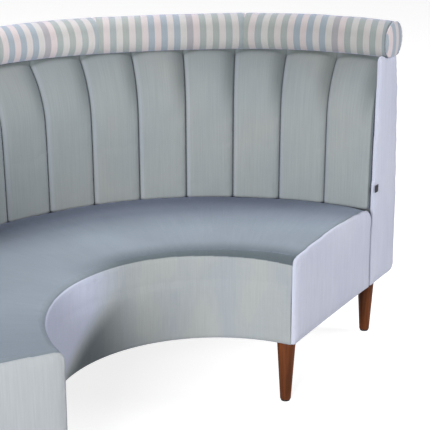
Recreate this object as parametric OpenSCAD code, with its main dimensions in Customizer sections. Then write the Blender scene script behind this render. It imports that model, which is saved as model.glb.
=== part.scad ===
// Half-round upholstered banquette bench: a seat unit and a back unit, bolted together.
// Both units are rings about one upright axis, cut off by two upright end planes.
// A section has the distance from that axis as its x and the height as its y.

/* [Ring] */
// Number of channels sewn into the back
channel_count = 17; // [9:2:19]
// Angle that one channel takes round the ring, in degrees
channel_angle = 9; // [7:0.25:9.5]
// Radius of the concave front of the seat
seat_front_r = 425; // [380:5:480]
// Depth of the seat unit from front to back
seat_depth = 501; // [450:1:540]
// Gap between the seat unit and the front seam of the back unit
unit_gap = 4; // [3:0.5:6]
// Depth of the back unit at its foot
back_depth = 175; // [165:1:220]

/* [Heights] */
// Height of the underside of the upholstery
leg_h = 200; // [150:5:230]
// Height of the seat's front edge above the floor
seat_edge_h = 460; // [430:5:500]
// Height of the ledge that the bolster lies on
ledge_h = 902; // [860:2:960]

/* [Seat] */
// Rise of the middle of the seat above its edges
seat_crown = 11; // [6:1:24]
// Rounding of the seat's top front edge
seat_front_round = 22; // [14:1:34]
// Rounding of the seat's top back edge
seat_back_round = 34; // [20:1:40]
// How far the seat's front face swells between its seams
front_swell = 4; // [0:0.5:8]
// Thickness of the seat foam at the edge of the seat
seat_foam_t = 88; // [60:2:100]
// Thickness of the seat deck
deck_t = 15; // [12:1:21]

/* [Back] */
// Depth of the sewn grooves behind the crown of the channels
channel_proud = 14; // [8:1:18]
// How far the grooves stand in front of the seat unit's back, where they meet the seat
groove_forward = 4; // [2:0.5:8]
// How far the grooves lean back up to where they turn over
groove_lean = 7; // [0:1:12]
// Radius with which the grooves turn over towards the bolster
turn_over_r = 200; // [180:2:216]
// Padding of a channel behind its groove
channel_pad_t = 10; // [8:0.5:12]
// Thickness of the foam sheet behind the channels
back_foam_t = 9.7; // [7:0.1:11]
// Height up to which the outside of the back is upright
upright_h = 430; // [380:5:500]
// Distance of the shoulder of the outside of the back below the ledge
shoulder_drop = 101; // [80:1:140]
// How far the outside of the back leans in at its shoulder
shoulder_lean = 22; // [14:1:30]
// How far the outside of the back leans in at the ledge
ledge_lean = 42; // [36:1:46]
// Rounding of the back's outer bottom edge
foot_round = 24; // [14:1:28]

/* [Bolster] */
// Radius of the bolster
bolster_r = 57; // [50:1:64]
// How much is cut off the bolster's underside, where it lies flat
bolster_flat = 11; // [9:1:15]
// Distance of the bolster's middle from the outside of the back's foot
bolster_setback = 70; // [67:1:73]
// Thickness of the bolster's cover and wadding
bolster_cover_t = 4; // [3:0.5:5]
// Rise of the bolster's padded ends
bolster_dome = 13; // [8:1:18]
// Thickness of the board in the bolster
bolster_board_t = 12; // [10:1:15]
// Width of the board in the bolster
bolster_board_w = 50; // [44:1:54]

/* [Covers] */
// Thickness of the seat's cover with its wadding
seat_cover_t = 8; // [5:0.5:10]
// Thickness of the outer back's cover with its wadding
outer_cover_t = 6; // [4:0.5:8]
// Thickness of the padded end panels
end_panel_t = 12; // [10:0.5:15]
// Rise of the padded end panels in their middle
end_panel_crown = 3; // [1:0.5:5]
// Rounding of the edges of the padded end panels
end_panel_round = 3; // [2:0.5:5]
// How far the back's end panels lean back between the seat's edge and their top
end_panel_lean = 18; // [10:1:22]
// How far the back's end panels rise above the ledge, in front of the bolster
end_panel_rise = 12; // [8:1:14]
// Rounding of the top front corner of the back's end panels
end_panel_corner = 14; // [8:1:16]
// Width of the covers turned under the frame
turn_under_w = 35; // [25:1:45]
// Thickness of the covers turned under the frame
turn_under_t = 2; // [1.5:0.1:3]
// Thickness of the dust covers' cloth
dust_cover_t = 1; // [0.8:0.1:1.5]
// Distance of the dust covers from the edges of the underside
dust_cover_margin = 10; // [6:1:14]
// Thickness of the lining on the front of the back unit, behind the seat
lining_t = 2; // [1:0.25:3]

/* [Frame] */
// Thickness of the plywood rails, ribs and uprights
ply_t = 18; // [15:1:20]
// Thickness of the bent plywood skins
skin_t = 4; // [3:0.5:5]
// Width of the seat's flat bottom rails
seat_rail_w = 100; // [90:2:120]
// Number of ribs, and of uprights, between the end boards
rib_count = 8; // [6:2:8]
// Height of the bent rails that the two units are bolted through
joint_rail_h = 80; // [60:2:84]
// Distance of those rails below the seat deck
joint_rail_drop = 7; // [4:1:12]
// Height of the rail along the top of the back
top_rail_h = 33; // [28:1:38]
// Depth of the rail along the top of the back
top_rail_d = 19; // [18:1:21]
// Height of the batten between the two units
batten_h = 60; // [40:2:60]

/* [Legs] */
// Diameter of a leg at its top
leg_top_d = 55; // [46:1:58]
// Diameter of a leg at its foot
leg_foot_d = 31; // [28:1:36]
// Bevel round the two ends of a leg
leg_bevel = 1; // [0.5:0.25:2]
// Distance of the front legs from the seat's front
front_leg_inset = 59; // [55:1:64]
// Distance of the front legs from the end planes
front_leg_end_inset = 53; // [50:1:66]
// Distance of the back legs from the outside of the back
back_leg_inset = 56; // [53:1:66]
// Distance of the outermost back legs from the end planes
back_leg_end_inset = 67; // [60:1:80]
// Height of the blocks that the legs are bolted to
leg_block_h = 40; // [30:1:50]
// Depth of the blocks that the legs are bolted to
leg_block_d = 80; // [60:1:80]
// Thickness of a glide
glide_t = 5; // [4:0.5:8]
// Diameter of a glide
glide_d = 26; // [20:1:27]
// Diameter of a glide's pin
glide_pin_d = 4; // [3:0.25:5]
// Length of a glide's pin
glide_pin_l = 14; // [10:1:18]

/* [Fasteners] */
// Diameter of the bolts
bolt_d = 8; // [6:0.5:8.5]
// Diameter of the bolts' heads
bolt_head_d = 16; // [13:0.5:17]
// Height of the bolts' heads
bolt_head_h = 5; // [4:0.5:6]
// Diameter of the nuts' flanges
nut_flange_d = 22; // [18:1:24]
// Thickness of the nuts' flanges
nut_flange_t = 2; // [1.5:0.25:3]
// Diameter of the nuts' barrels
nut_barrel_d = 11; // [10.5:0.25:13]
// Length of the nuts' barrels
nut_barrel_l = 8; // [6:0.5:9]
// Depth of the leg bolts in the legs
leg_bolt_depth = 40; // [30:1:50]

/* [Side tag] */
// Width of the plain cloth tag sewn into the end seam
tag_w = 22; // [16:1:24]
// Height of the tag
tag_h = 22; // [16:1:28]
// Thickness of the tag
tag_t = 1; // [0.8:0.1:1.5]
// Height of the tag above the seat's edge
tag_above_seat = 44; // [34:1:80]

/* [Hidden] */

$fn = 144;
velvet = [0.60, 0.65, 0.67];
stripe = [0.74, 0.72, 0.71];
walnut = [0.36, 0.20, 0.13];
plywood = [0.80, 0.68, 0.50];
foam = [0.93, 0.89, 0.72];
black_cloth = [0.10, 0.10, 0.11];
steel = [0.70, 0.71, 0.73];

// Gap beside a soft or bent piece, gap round a bolt, and overrun of a cut past a face
fit_gap = 0.3;
bolt_gap = 0.25;
overrun = 1;

// Plan
half_angle = channel_count * channel_angle / 2;
seat_back_r = seat_front_r + seat_depth;
back_front_r = seat_back_r + unit_gap;
outer_r = back_front_r + back_depth;
ring_y = -(outer_r + seat_front_r * cos(half_angle)) / 2;
frame_end = end_panel_t + fit_gap;

// Underside and seat frame
turn_under_z = leg_h + dust_cover_t;
rail_z = turn_under_z + turn_under_t;
rib_z = rail_z + ply_t;
deck_top_z = seat_edge_h - seat_foam_t;
deck_z = deck_top_z - deck_t;
seat_skin_front_r = seat_front_r + seat_cover_t + fit_gap;
seat_skin_back_r = seat_back_r - seat_cover_t - fit_gap;
seat_frame_front_r = seat_skin_front_r + skin_t;
seat_frame_back_r = seat_skin_back_r - skin_t;
joint_top_z = deck_z - joint_rail_drop;
joint_low_z = joint_top_z - joint_rail_h;
joint_z = (joint_top_z + joint_low_z) / 2;

// Layers of the back behind its grooves
groove_r = seat_back_r - groove_forward;
groove_top_r = groove_r + groove_lean;
turn_r = groove_top_r + turn_over_r;
foam_front = channel_pad_t + fit_gap;
foam_back = foam_front + back_foam_t;
skin_back = foam_back + skin_t;
back_frame_r = groove_top_r + skin_back;
outer_skin = outer_cover_t + fit_gap;
outer_frame = outer_skin + skin_t;

// Top of the back
shoulder_h = ledge_h - shoulder_drop;
flap_t = turn_under_t + dust_cover_t;
top_rail_top_z = ledge_h - flap_t;
top_rail_z = top_rail_top_z - top_rail_h;
top_rail_r = outer_r - ledge_lean - outer_frame - top_rail_d;
tuck_turn = acos((turn_r - top_rail_r + fit_gap) / (turn_over_r - channel_pad_t));
turn_z = ledge_h - fit_gap - (turn_over_r + channel_proud) * sin(tuck_turn);

// The channels start just above the rounded back edge of the seat
channel_overhang = groove_r - channel_proud - (seat_back_r - seat_back_round);
seat_edge_drop = seat_back_round - sqrt(pow(seat_back_round, 2) - pow(channel_overhang, 2));
channel_z = seat_edge_h - seat_edge_drop + fit_gap;

// Bolster
bolster_mid_r = outer_r - bolster_setback;
bolster_z = ledge_h + bolster_r - bolster_flat;
bolster_foot = sqrt(pow(bolster_r, 2) - pow(bolster_r - bolster_flat, 2));
board_z = ledge_h + bolster_cover_t;
board_top_z = board_z + bolster_board_t;
bolster_bolt_r = top_rail_r + top_rail_d / 2;

// Legs
front_leg_r = seat_front_r + front_leg_inset;
back_leg_r = outer_r - back_leg_inset;
front_leg_angle = half_angle - asin(front_leg_end_inset / front_leg_r);
back_leg_angle = half_angle - asin(back_leg_end_inset / back_leg_r);
leg_block_skew = leg_block_d / 2 * front_leg_end_inset / front_leg_r;
leg_block_w = 2 * (front_leg_end_inset - frame_end - ply_t - leg_block_skew - fit_gap);
leg_block_top_z = rib_z + leg_block_h;
leg_places = [
    [front_leg_r, -front_leg_angle], [front_leg_r, front_leg_angle],
    [back_leg_r, -back_leg_angle], [back_leg_r, -back_leg_angle / 2], [back_leg_r, 0],
    [back_leg_r, back_leg_angle / 2], [back_leg_r, back_leg_angle]
];

// The ribs and uprights part the ring into bays, and four bays carry bolts
bay_angle = 2 * half_angle / (rib_count + 1);
bolt_bays = [0, 2, rib_count - 2, rib_count];
function rib_angle(i) = (i + 1) * bay_angle - half_angle;
function bay_middle(i) = (i + 0.5) * bay_angle - half_angle;

function reversed(list) = [for (i = [len(list) - 1:-1:0]) list[i]];
function arc_points(centre, r, from, to, steps) = [
    for (i = [0:steps])
        let (a = from + (to - from) * i / steps)
        [centre.x + r * cos(a), centre.y + r * sin(a)]
];

// Outline of the seat drawn in by t: up the front, over the crown and down the back
front_face_shares = [0, 0.2, 0.4, 0.6, 0.8];
crown_shares = [for (i = [1:11]) i / 12];
function crowned(share) = seat_edge_h + seat_crown * sin(180 * share);
function seat_line(t, low, swell) =
    let (
        front_c = [seat_front_r + seat_front_round, seat_edge_h - seat_front_round],
        back_c = [seat_back_r - seat_back_round, seat_edge_h - seat_back_round]
    )
    concat(
        [for (s = front_face_shares)
            [seat_front_r + t - swell * sin(180 * s), low + (front_c.y - low) * s]],
        arc_points(front_c, seat_front_round - t, 180, 90, 6),
        [for (s = crown_shares) [front_c.x + (back_c.x - front_c.x) * s, crowned(s) - t]],
        arc_points(back_c, seat_back_round - t, 90, 0, 6),
        [[seat_back_r - t, low]]
    );

// Line that runs up the back at the depth d behind the grooves and turns over until it
// reaches the radius limit
turn_steps = 10;
function turn_line(d, low, limit) = concat(
    [[groove_top_r + d, low]],
    arc_points([turn_r, turn_z], turn_over_r - d, 180,
        180 - acos((turn_r - limit) / (turn_over_r - d)), turn_steps)
);

// Outside of the back drawn in by t, and its radius at a height above the shoulder
function outer_line(t, low, high) = [
    [outer_r - t, low], [outer_r - t, upright_h],
    [outer_r - shoulder_lean - t, shoulder_h], [outer_at(high) - t, high]
];
function outer_at(z) =
    outer_r - shoulder_lean
        - (ledge_lean - shoulder_lean) * (z - shoulder_h) / shoulder_drop;

// Space between planes set in by d from both end planes
fan_steps = 8;
fan_reach = 2 * outer_r;
module between_ends(d) {
    intersection() {
        children();
        translate([0, ring_y + d / sin(half_angle), 0])
            linear_extrude(bolster_z + bolster_r + overrun)
                polygon(concat([[0, 0]], [
                    for (i = [0:fan_steps])
                        let (a = half_angle * (2 * i / fan_steps - 1))
                        [fan_reach * sin(a), fan_reach * cos(a)]
                ]));
    }
}

// Ring swept from the section that follows, ending d inside both end planes
module ring(d) {
    between_ends(d)
        translate([0, ring_y, 0])
            rotate_extrude(convexity = 6)
                children();
}

// Place at an angle round the ring: x points outwards and z up
module at_angle(a) {
    translate([0, ring_y, 0])
        rotate([0, 0, 90 - a])
            children();
}

// Place on an end plane: x is the radius, y the height and z points out of the bench
module at_right_end() {
    at_angle(half_angle) rotate([90, 0, 0]) children();
}
module at_left_end() {
    mirror([1, 0, 0]) at_right_end() children();
}

// Flat board with the outline that follows, upright and across the ring
module rib_at(a, points) {
    at_angle(a)
        rotate([90, 0, 0])
            translate([0, 0, -ply_t / 2])
                linear_extrude(ply_t)
                    polygon(points);
}
module end_boards(points) {
    at_right_end() translate([0, 0, -frame_end - ply_t]) linear_extrude(ply_t) polygon(points);
    at_left_end() translate([0, 0, -frame_end - ply_t]) linear_extrude(ply_t) polygon(points);
}

// Bolt holes and bolts, along the radius or upright
module along_radius(bay, r) {
    at_angle(bay_middle(bay)) translate([r, 0, joint_z]) rotate([0, 90, 0]) children();
}
module unit_bolt_holes() {
    for (bay = bolt_bays)
        along_radius(bay, seat_front_r)
            cylinder(h = outer_r - seat_front_r, d = bolt_d + 2 * bolt_gap);
}
module bolster_bolt_holes() {
    for (bay = bolt_bays)
        at_angle(bay_middle(bay))
            translate([bolster_bolt_r, 0, top_rail_z - overrun])
                cylinder(h = bolster_z - top_rail_z, d = bolt_d + 2 * bolt_gap);
}
module at_legs() {
    for (place = leg_places)
        at_angle(place[1]) translate([place[0], 0, 0]) children();
}
module leg_bolt_holes() {
    at_legs()
        translate([0, 0, leg_h - overrun])
            cylinder(h = leg_block_top_z - leg_h + 2 * overrun, d = bolt_d + 2 * bolt_gap);
}

// Flanged nut: its flange lies on z = 0 and its barrel hangs down from it
module flanged_nut() {
    difference() {
        union() {
            cylinder(h = nut_flange_t, d = nut_flange_d);
            translate([0, 0, -nut_barrel_l]) cylinder(h = nut_barrel_l, d = nut_barrel_d);
        }
        translate([0, 0, -nut_barrel_l - overrun])
            cylinder(h = nut_barrel_l + nut_flange_t + 2 * overrun, d = bolt_d + bolt_gap);
    }
}
module nut_recess() {
    translate([0, 0, -nut_barrel_l - bolt_gap])
        cylinder(h = nut_barrel_l + bolt_gap + overrun, d = nut_barrel_d + 2 * bolt_gap);
}

// Seat frame
module seat_front_bottom_rail() {
    color(plywood)
        difference() {
            ring(frame_end)
                translate([seat_frame_front_r, rail_z]) square([seat_rail_w, ply_t]);
            leg_bolt_holes();
        }
}

module seat_back_bottom_rail() {
    color(plywood)
        ring(frame_end)
            translate([seat_frame_back_r - seat_rail_w, rail_z]) square([seat_rail_w, ply_t]);
}

// The ribs are notched at the back for the bent joint rail
seat_rib_outline = [
    [seat_frame_front_r + fit_gap, rib_z], [seat_frame_back_r - fit_gap, rib_z],
    [seat_frame_back_r - fit_gap, joint_low_z], [seat_frame_back_r - ply_t - fit_gap, joint_low_z],
    [seat_frame_back_r - ply_t - fit_gap, joint_top_z], [seat_frame_back_r - fit_gap, joint_top_z],
    [seat_frame_back_r - fit_gap, deck_z], [seat_frame_front_r + fit_gap, deck_z]
];
module seat_ribs() {
    color(plywood)
        for (i = [0:rib_count - 1])
            rib_at(rib_angle(i), seat_rib_outline);
}
module seat_end_boards() {
    color(plywood) end_boards(seat_rib_outline);
}

module seat_joint_rail() {
    color(plywood)
        difference() {
            ring(frame_end)
                translate([seat_frame_back_r - ply_t, joint_low_z]) square([ply_t, joint_rail_h]);
            unit_bolt_holes();
        }
}

module seat_front_skin() {
    color(plywood)
        ring(frame_end)
            translate([seat_skin_front_r, rail_z]) square([skin_t, deck_top_z - rail_z]);
}

module seat_back_skin() {
    color(plywood)
        difference() {
            ring(frame_end)
                translate([seat_frame_back_r, rail_z]) square([skin_t, deck_top_z - rail_z]);
            unit_bolt_holes();
        }
}

module seat_deck() {
    color(plywood)
        ring(frame_end)
            translate([seat_frame_front_r, deck_z])
                square([seat_frame_back_r - seat_frame_front_r, deck_t]);
}

// Seat upholstery
module seat_foam() {
    color(foam)
        ring(frame_end)
            polygon(seat_line(seat_cover_t + fit_gap, deck_top_z, 0));
}

// The cover is turned under the frame all round and stapled there
module seat_cover() {
    outside = concat(
        [[seat_front_r + turn_under_w, turn_under_z]],
        seat_line(0, turn_under_z, front_swell),
        [[seat_back_r - turn_under_w, turn_under_z], [seat_back_r - turn_under_w, rail_z]]
    );
    inside = concat(
        [[seat_front_r + turn_under_w, rail_z]],
        seat_line(seat_cover_t, rail_z, 0)
    );
    color(velvet)
        difference() {
            ring(frame_end) polygon(concat(outside, reversed(inside)));
            unit_bolt_holes();
        }
}

module seat_dust_cover() {
    color(black_cloth)
        difference() {
            ring(end_panel_t + dust_cover_margin)
                translate([seat_front_r + dust_cover_margin, leg_h])
                    square([seat_depth - 2 * dust_cover_margin, dust_cover_t]);
            leg_bolt_holes();
        }
}

// Padded panel with a flat back, rounded edges and a crowned face. Each ring of its
// points is drawn in towards the middle by a distance and lies at a height.
function middle_of(points) = [
    (max([for (p = points) p.x]) + min([for (p = points) p.x])) / 2,
    (max([for (p = points) p.y]) + min([for (p = points) p.y])) / 2
];
function half_width_of(points) = (max([for (p = points) p.x]) - min([for (p = points) p.x])) / 2;
function half_height_of(points) = (max([for (p = points) p.y]) - min([for (p = points) p.y])) / 2;
crown_reach_share = 0.35;
crown_height_share = 0.8;
round_share = 0.3;
module padded_panel(points) {
    n = len(points);
    mid = middle_of(points);
    half = [half_width_of(points), half_height_of(points)];
    rings = [
        [0, -end_panel_t], [0, -end_panel_round],
        [end_panel_round * round_share, -end_panel_round * round_share], [end_panel_round, 0],
        [half.x * crown_reach_share, end_panel_crown * crown_height_share]
    ];
    ring_points = [
        for (r = rings)
            for (p = points) [
                mid.x + (p.x - mid.x) * (1 - r[0] / half.x),
                mid.y + (p.y - mid.y) * (1 - r[0] / half.y),
                r[1]
            ]
    ];
    middle_points = [[mid.x, mid.y, -end_panel_t], [mid.x, mid.y, end_panel_crown]];
    last = len(rings) - 1;
    sides = [
        for (k = [0:last - 1])
            for (i = [0:n - 1])
                let (a = k * n + i, b = k * n + (i + 1) % n)
                each [[a, a + n, b], [b, a + n, b + n]]
    ];
    back = [for (i = [0:n - 1]) [n * (last + 1), i, (i + 1) % n]];
    face = [for (i = [0:n - 1]) [n * (last + 1) + 1, n * last + (i + 1) % n, n * last + i]];
    polyhedron(concat(ring_points, middle_points), concat(sides, back, face), convexity = 4);
}

seat_panel_outline = seat_line(0, turn_under_z, front_swell);
module seat_end_panel_left() {
    color(velvet) at_left_end() padded_panel(reversed(seat_panel_outline));
}
module seat_end_panel_right() {
    color(velvet) at_right_end() padded_panel(reversed(seat_panel_outline));
}

// Back frame
module back_bottom_rail() {
    color(plywood)
        difference() {
            ring(frame_end)
                translate([back_frame_r, rail_z])
                    square([outer_r - foot_round - fit_gap - back_frame_r, ply_t]);
            leg_bolt_holes();
        }
}

module back_joint_rail() {
    color(plywood)
        difference() {
            ring(frame_end)
                translate([back_frame_r, joint_low_z]) square([ply_t, joint_rail_h]);
            unit_bolt_holes();
            for (bay = bolt_bays)
                along_radius(bay, back_frame_r + ply_t) nut_recess();
        }
}

module back_top_rail() {
    color(plywood)
        difference() {
            ring(frame_end)
                polygon([
                    [top_rail_r, top_rail_z], [outer_at(top_rail_z) - outer_frame, top_rail_z],
                    [outer_at(top_rail_top_z) - outer_frame, top_rail_top_z],
                    [top_rail_r, top_rail_top_z]
                ]);
            bolster_bolt_holes();
        }
}

// The uprights are notched in front for the bent joint rail and carry the top rail
upright_front_r = back_frame_r + fit_gap;
upright_outline = concat(
    [
        [upright_front_r, rib_z], [upright_front_r, joint_low_z],
        [upright_front_r + ply_t, joint_low_z], [upright_front_r + ply_t, joint_top_z],
        [upright_front_r, joint_top_z]
    ],
    turn_line(skin_back + fit_gap, joint_top_z + fit_gap, top_rail_r),
    [[top_rail_r, top_rail_z]],
    reversed(outer_line(outer_frame + fit_gap, rib_z, top_rail_z))
);
module back_uprights() {
    color(plywood)
        for (i = [0:rib_count - 1])
            rib_at(rib_angle(i), upright_outline);
}
module back_end_boards() {
    color(plywood) end_boards(upright_outline);
}

module back_inner_skin() {
    color(plywood)
        difference() {
            ring(frame_end)
                polygon(concat(
                    turn_line(foam_back, rail_z, top_rail_r),
                    reversed(turn_line(skin_back, rail_z, top_rail_r))
                ));
            unit_bolt_holes();
        }
}

module back_outer_skin() {
    color(plywood)
        ring(frame_end)
            polygon(concat(
                outer_line(outer_frame, turn_under_z + foot_round, top_rail_top_z),
                reversed(outer_line(outer_skin, turn_under_z + foot_round, top_rail_top_z))
            ));
}

// Back upholstery
module back_lining() {
    lining_r = groove_top_r + foam_back - lining_t;
    color(velvet)
        difference() {
            ring(frame_end)
                polygon([
                    [lining_r, turn_under_z], [lining_r + turn_under_w, turn_under_z],
                    [lining_r + turn_under_w, rail_z], [lining_r + lining_t, rail_z],
                    [lining_r + lining_t, channel_z - fit_gap], [lining_r, channel_z - fit_gap]
                ]);
            unit_bolt_holes();
        }
}

module back_foam() {
    color(foam)
        ring(frame_end)
            polygon(concat(
                turn_line(foam_front, channel_z, top_rail_r - fit_gap),
                reversed(turn_line(foam_back, channel_z, top_rail_r - fit_gap))
            ));
}

// Fluted cushion. Across each channel the face swells out from one groove and back to
// the next. Up each line it first runs straight, then turns over towards the bolster.
across_shares = [0, 0.08, 0.3, 0.7, 0.92];
swell_shares = [0, 0.62, 1, 1, 0.62];
straight_shares = [0, 0.4, 0.8];
turn_count = 5;
turn_step = tuck_turn / turn_count;
back_turn_r = (turn_over_r - channel_pad_t) / cos(turn_step);
function face_line(swell) = concat(
    [for (s = straight_shares)
        [groove_r + groove_lean * s - swell, channel_z + (turn_z - channel_z) * s]],
    arc_points([turn_r, turn_z], turn_over_r + swell, 180, 180 - tuck_turn, turn_count)
);
function rear_line() = [
    [groove_top_r + channel_pad_t, channel_z],
    [groove_top_r + channel_pad_t, channel_z + (turn_z - channel_z) * straight_shares[2]],
    for (k = [1:2:turn_count])
        [turn_r - back_turn_r * cos(k * turn_step), turn_z + back_turn_r * sin(k * turn_step)]
];
// Point of a section at the place u across the back, from -1 at one end to 1 at the other
function swept(u, p) =
    let (a = u * (half_angle - asin(frame_end / p.x)))
    [p.x * sin(a), ring_y + p.x * cos(a), p.y];
module back_channels() {
    places = concat(
        [for (k = [0:channel_count - 1])
            for (i = [0:len(across_shares) - 1])
                [2 * (k + across_shares[i]) / channel_count - 1, swell_shares[i]]],
        [[1, 0]]
    );
    rear = rear_line();
    front_n = len(face_line(0));
    rear_n = len(rear);
    n = front_n + rear_n;
    points = [
        for (place = places)
            for (p = concat(face_line(channel_proud * place[1]), reversed(rear)))
                swept(place[0], p)
    ];
    last = len(places) - 1;
    sides = [
        for (k = [0:last - 1])
            for (i = [0:n - 1])
                let (a = k * n + i, b = k * n + (i + 1) % n)
                each [[a, b, a + n], [b, b + n, a + n]]
    ];
    // One end face: each stretch of the rear line faces two stretches of the front line
    end_face = [
        for (k = [0:rear_n - 2])
            let (f = 2 * k, r = n - 1 - k)
            each [[f, r, f + 1], [f + 1, r, r - 1], [f + 1, r - 1, f + 2]]
    ];
    far_face = [for (t = end_face) [t[0] + last * n, t[2] + last * n, t[1] + last * n]];
    color(velvet) polyhedron(points, concat(sides, end_face, far_face), convexity = 10);
}

// The outer cover is turned under the frame, and its top flap lies over the top rail
module outer_back_cover() {
    foot_c = [outer_r - foot_round, turn_under_z + foot_round];
    flap_z = top_rail_top_z;
    outside = concat(
        [[foot_c.x - turn_under_w, turn_under_z]],
        arc_points(foot_c, foot_round, -90, 0, 6),
        [[outer_r, upright_h], [outer_r - shoulder_lean, shoulder_h], [outer_at(ledge_h), ledge_h]],
        [[top_rail_r, ledge_h], [top_rail_r, flap_z]]
    );
    inside = concat(
        [[foot_c.x - turn_under_w, rail_z], [foot_c.x, rail_z]],
        arc_points(foot_c, foot_round - outer_cover_t, -90, 0, 6),
        [[outer_r - outer_cover_t, upright_h]],
        [[outer_r - shoulder_lean - outer_cover_t, shoulder_h]],
        [[outer_at(flap_z) - outer_cover_t, flap_z]]
    );
    color(velvet)
        difference() {
            ring(frame_end) polygon(concat(outside, reversed(inside)));
            bolster_bolt_holes();
            leg_bolt_holes();
        }
}

// The back's end panels stand proud of the channels, with their front edge at the seam.
// Behind their raised corner they are cut down to the ledge, clear of the bolster.
bolster_clearance = 6;
panel_top_z = ledge_h + end_panel_rise;
panel_top_r = back_front_r + end_panel_lean;
panel_corner = [panel_top_r + end_panel_corner, panel_top_z - end_panel_corner];
back_panel_outline = concat(
    [[back_front_r, turn_under_z], [back_front_r, seat_edge_h]],
    arc_points(panel_corner, end_panel_corner, 180, 90, 4),
    [[panel_corner.x + end_panel_corner, panel_top_z - fit_gap]],
    [[bolster_mid_r - bolster_foot - bolster_clearance, ledge_h - fit_gap]],
    [[outer_at(ledge_h), ledge_h - fit_gap], [outer_r - shoulder_lean, shoulder_h]],
    [[outer_r, upright_h]],
    arc_points([outer_r - foot_round, turn_under_z + foot_round], foot_round, 0, -90, 5)
);
module back_end_panel_left() {
    color(velvet) at_left_end() padded_panel(reversed(back_panel_outline));
}
module back_end_panel_right() {
    color(velvet) at_right_end() padded_panel(reversed(back_panel_outline));
}

module back_dust_cover() {
    dust_front_r = back_frame_r + dust_cover_margin;
    color(black_cloth)
        difference() {
            ring(end_panel_t + dust_cover_margin)
                translate([dust_front_r, leg_h])
                    square([outer_r - foot_round - dust_front_r, dust_cover_t]);
            leg_bolt_holes();
        }
}

// Joint between the two units: a bent batten keeps them apart and bolts pull them up
module spacer_batten() {
    batten_r = seat_back_r + fit_gap;
    color(plywood)
        difference() {
            ring(frame_end)
                translate([batten_r, joint_z - batten_h / 2])
                    square([groove_top_r + foam_back - lining_t - batten_r, batten_h]);
            unit_bolt_holes();
        }
}

module unit_bolts() {
    head_r = seat_frame_back_r - ply_t;
    bolt_l = back_frame_r + ply_t + nut_flange_t - head_r;
    color(steel)
        for (bay = bolt_bays)
            along_radius(bay, head_r) {
                translate([0, 0, -bolt_head_h]) cylinder(h = bolt_head_h, d = bolt_head_d);
                cylinder(h = bolt_l, d = bolt_d);
            }
}

module unit_nuts() {
    color(steel)
        for (bay = bolt_bays)
            along_radius(bay, back_frame_r + ply_t) flanged_nut();
}

// Bolster
module bolster_section(t) {
    intersection() {
        translate([bolster_mid_r, bolster_z]) circle(r = bolster_r - t);
        translate([bolster_mid_r - bolster_r, ledge_h + t]) square(2 * bolster_r);
    }
}

module bolster_board() {
    color(plywood)
        difference() {
            ring(bolster_cover_t + fit_gap)
                translate([bolster_mid_r - bolster_board_w / 2, board_z])
                    square([bolster_board_w, bolster_board_t]);
            bolster_bolt_holes();
            for (bay = bolt_bays)
                at_angle(bay_middle(bay))
                    translate([bolster_bolt_r, 0, board_top_z]) nut_recess();
        }
}

module bolster_foam() {
    color(foam)
        difference() {
            ring(bolster_cover_t + fit_gap) bolster_section(bolster_cover_t + fit_gap);
            ring(0)
                translate([bolster_mid_r - bolster_board_w / 2 - fit_gap, ledge_h])
                    square([bolster_board_w + 2 * fit_gap, board_top_z + fit_gap - ledge_h]);
            for (bay = bolt_bays)
                at_angle(bay_middle(bay))
                    translate([bolster_bolt_r, 0, board_top_z])
                        cylinder(h = nut_flange_t + fit_gap, d = nut_flange_d + 2 * bolt_gap);
        }
}

module bolster_cover() {
    color(stripe)
        difference() {
            ring(bolster_cover_t)
                difference() {
                    bolster_section(0);
                    bolster_section(bolster_cover_t);
                }
            bolster_bolt_holes();
        }
}

// Padded end of the bolster: a disc with a domed face, flat where it lies on the ledge
dome_r = (pow(bolster_r, 2) + pow(bolster_dome, 2)) / (2 * bolster_dome);
module bolster_end() {
    intersection() {
        translate([bolster_mid_r, bolster_z, 0])
            intersection() {
                translate([0, 0, fit_gap - bolster_cover_t])
                    cylinder(h = bolster_cover_t + bolster_dome + overrun, r = bolster_r);
                translate([0, 0, bolster_dome - dome_r]) sphere(r = dome_r);
            }
        translate([bolster_mid_r - bolster_r, ledge_h, -bolster_cover_t])
            cube([2 * bolster_r, 2 * bolster_r, bolster_cover_t + bolster_dome + overrun]);
    }
}
module bolster_end_left() {
    color(stripe) at_left_end() bolster_end();
}
module bolster_end_right() {
    color(stripe) at_right_end() bolster_end();
}

module bolster_bolts() {
    color(steel)
        for (bay = bolt_bays)
            at_angle(bay_middle(bay))
                translate([bolster_bolt_r, 0, top_rail_z]) {
                    translate([0, 0, -bolt_head_h]) cylinder(h = bolt_head_h, d = bolt_head_d);
                    cylinder(h = board_top_z + nut_flange_t - top_rail_z, d = bolt_d);
                }
}

module bolster_nuts() {
    color(steel)
        for (bay = bolt_bays)
            at_angle(bay_middle(bay))
                translate([bolster_bolt_r, 0, board_top_z]) flanged_nut();
}

// Legs, each turned to a straight taper and drilled for its bolt and its glide's pin
module leg(place) {
    foot = leg_foot_d / 2;
    top = leg_top_d / 2;
    color(walnut)
        at_angle(place[1])
            translate([place[0], 0, 0])
                difference() {
                    rotate_extrude()
                        polygon([
                            [0, glide_t], [foot - leg_bevel, glide_t], [foot, glide_t + leg_bevel],
                            [top, leg_h - leg_bevel], [top - leg_bevel, leg_h], [0, leg_h]
                        ]);
                    translate([0, 0, leg_h - leg_bolt_depth])
                        cylinder(h = leg_bolt_depth + overrun, d = bolt_d + bolt_gap);
                    translate([0, 0, glide_t - overrun])
                        cylinder(h = glide_pin_l + overrun, d = glide_pin_d + bolt_gap);
                }
}
module front_leg_left() leg(leg_places[0]);
module front_leg_right() leg(leg_places[1]);
module back_leg_end_left() leg(leg_places[2]);
module back_leg_mid_left() leg(leg_places[3]);
module back_leg_centre() leg(leg_places[4]);
module back_leg_mid_right() leg(leg_places[5]);
module back_leg_end_right() leg(leg_places[6]);

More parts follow.
